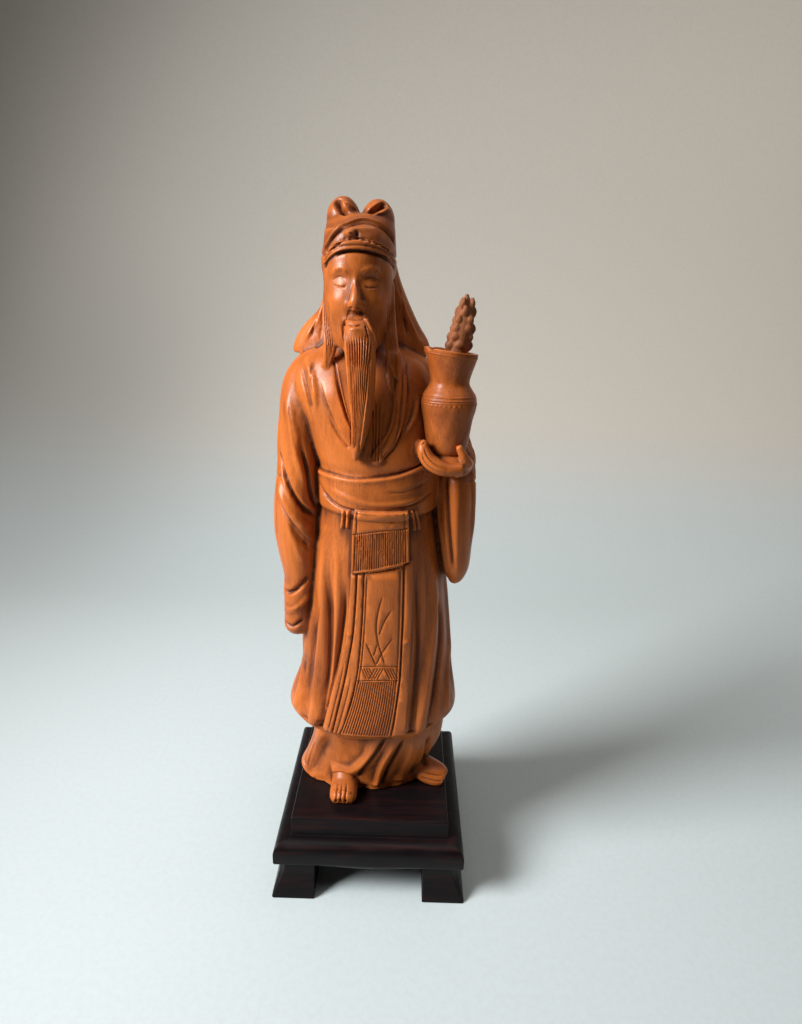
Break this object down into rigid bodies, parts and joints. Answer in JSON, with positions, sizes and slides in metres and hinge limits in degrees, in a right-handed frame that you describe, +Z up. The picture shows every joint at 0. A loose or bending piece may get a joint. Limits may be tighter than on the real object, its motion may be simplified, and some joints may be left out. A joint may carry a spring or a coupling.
{
  "type": "carved sage figure on a stand",
  "caption": "Standing bearded sage carved in boxwood, in a tall lobed cap and a long robe, with a small vase and flower spike in one hand, on a stepped dark hardwood stand.",
  "frame": {"origin": "centre of the stand's footprint, on the ground", "axes": "+Z up, the sage faces -Y, +X is the side of the hand with the vase"},
  "size_m": [0.0747, 0.074, 0.2492],
  "materials": {
    "boxwood": "polished, red-brown, fine grained",
    "boxwood_spike": "matt, greyer brown",
    "stand_hardwood": "polished, nearly black"
  },
  "bodies": {
    "root": {"figure": "boxwood", "spike": "boxwood_spike", "stand_top": "stand_hardwood", "foot_front_left": "stand_hardwood", "foot_front_right": "stand_hardwood", "foot_back_left": "stand_hardwood", "foot_back_right": "stand_hardwood"}
  },
  "joints": []
}
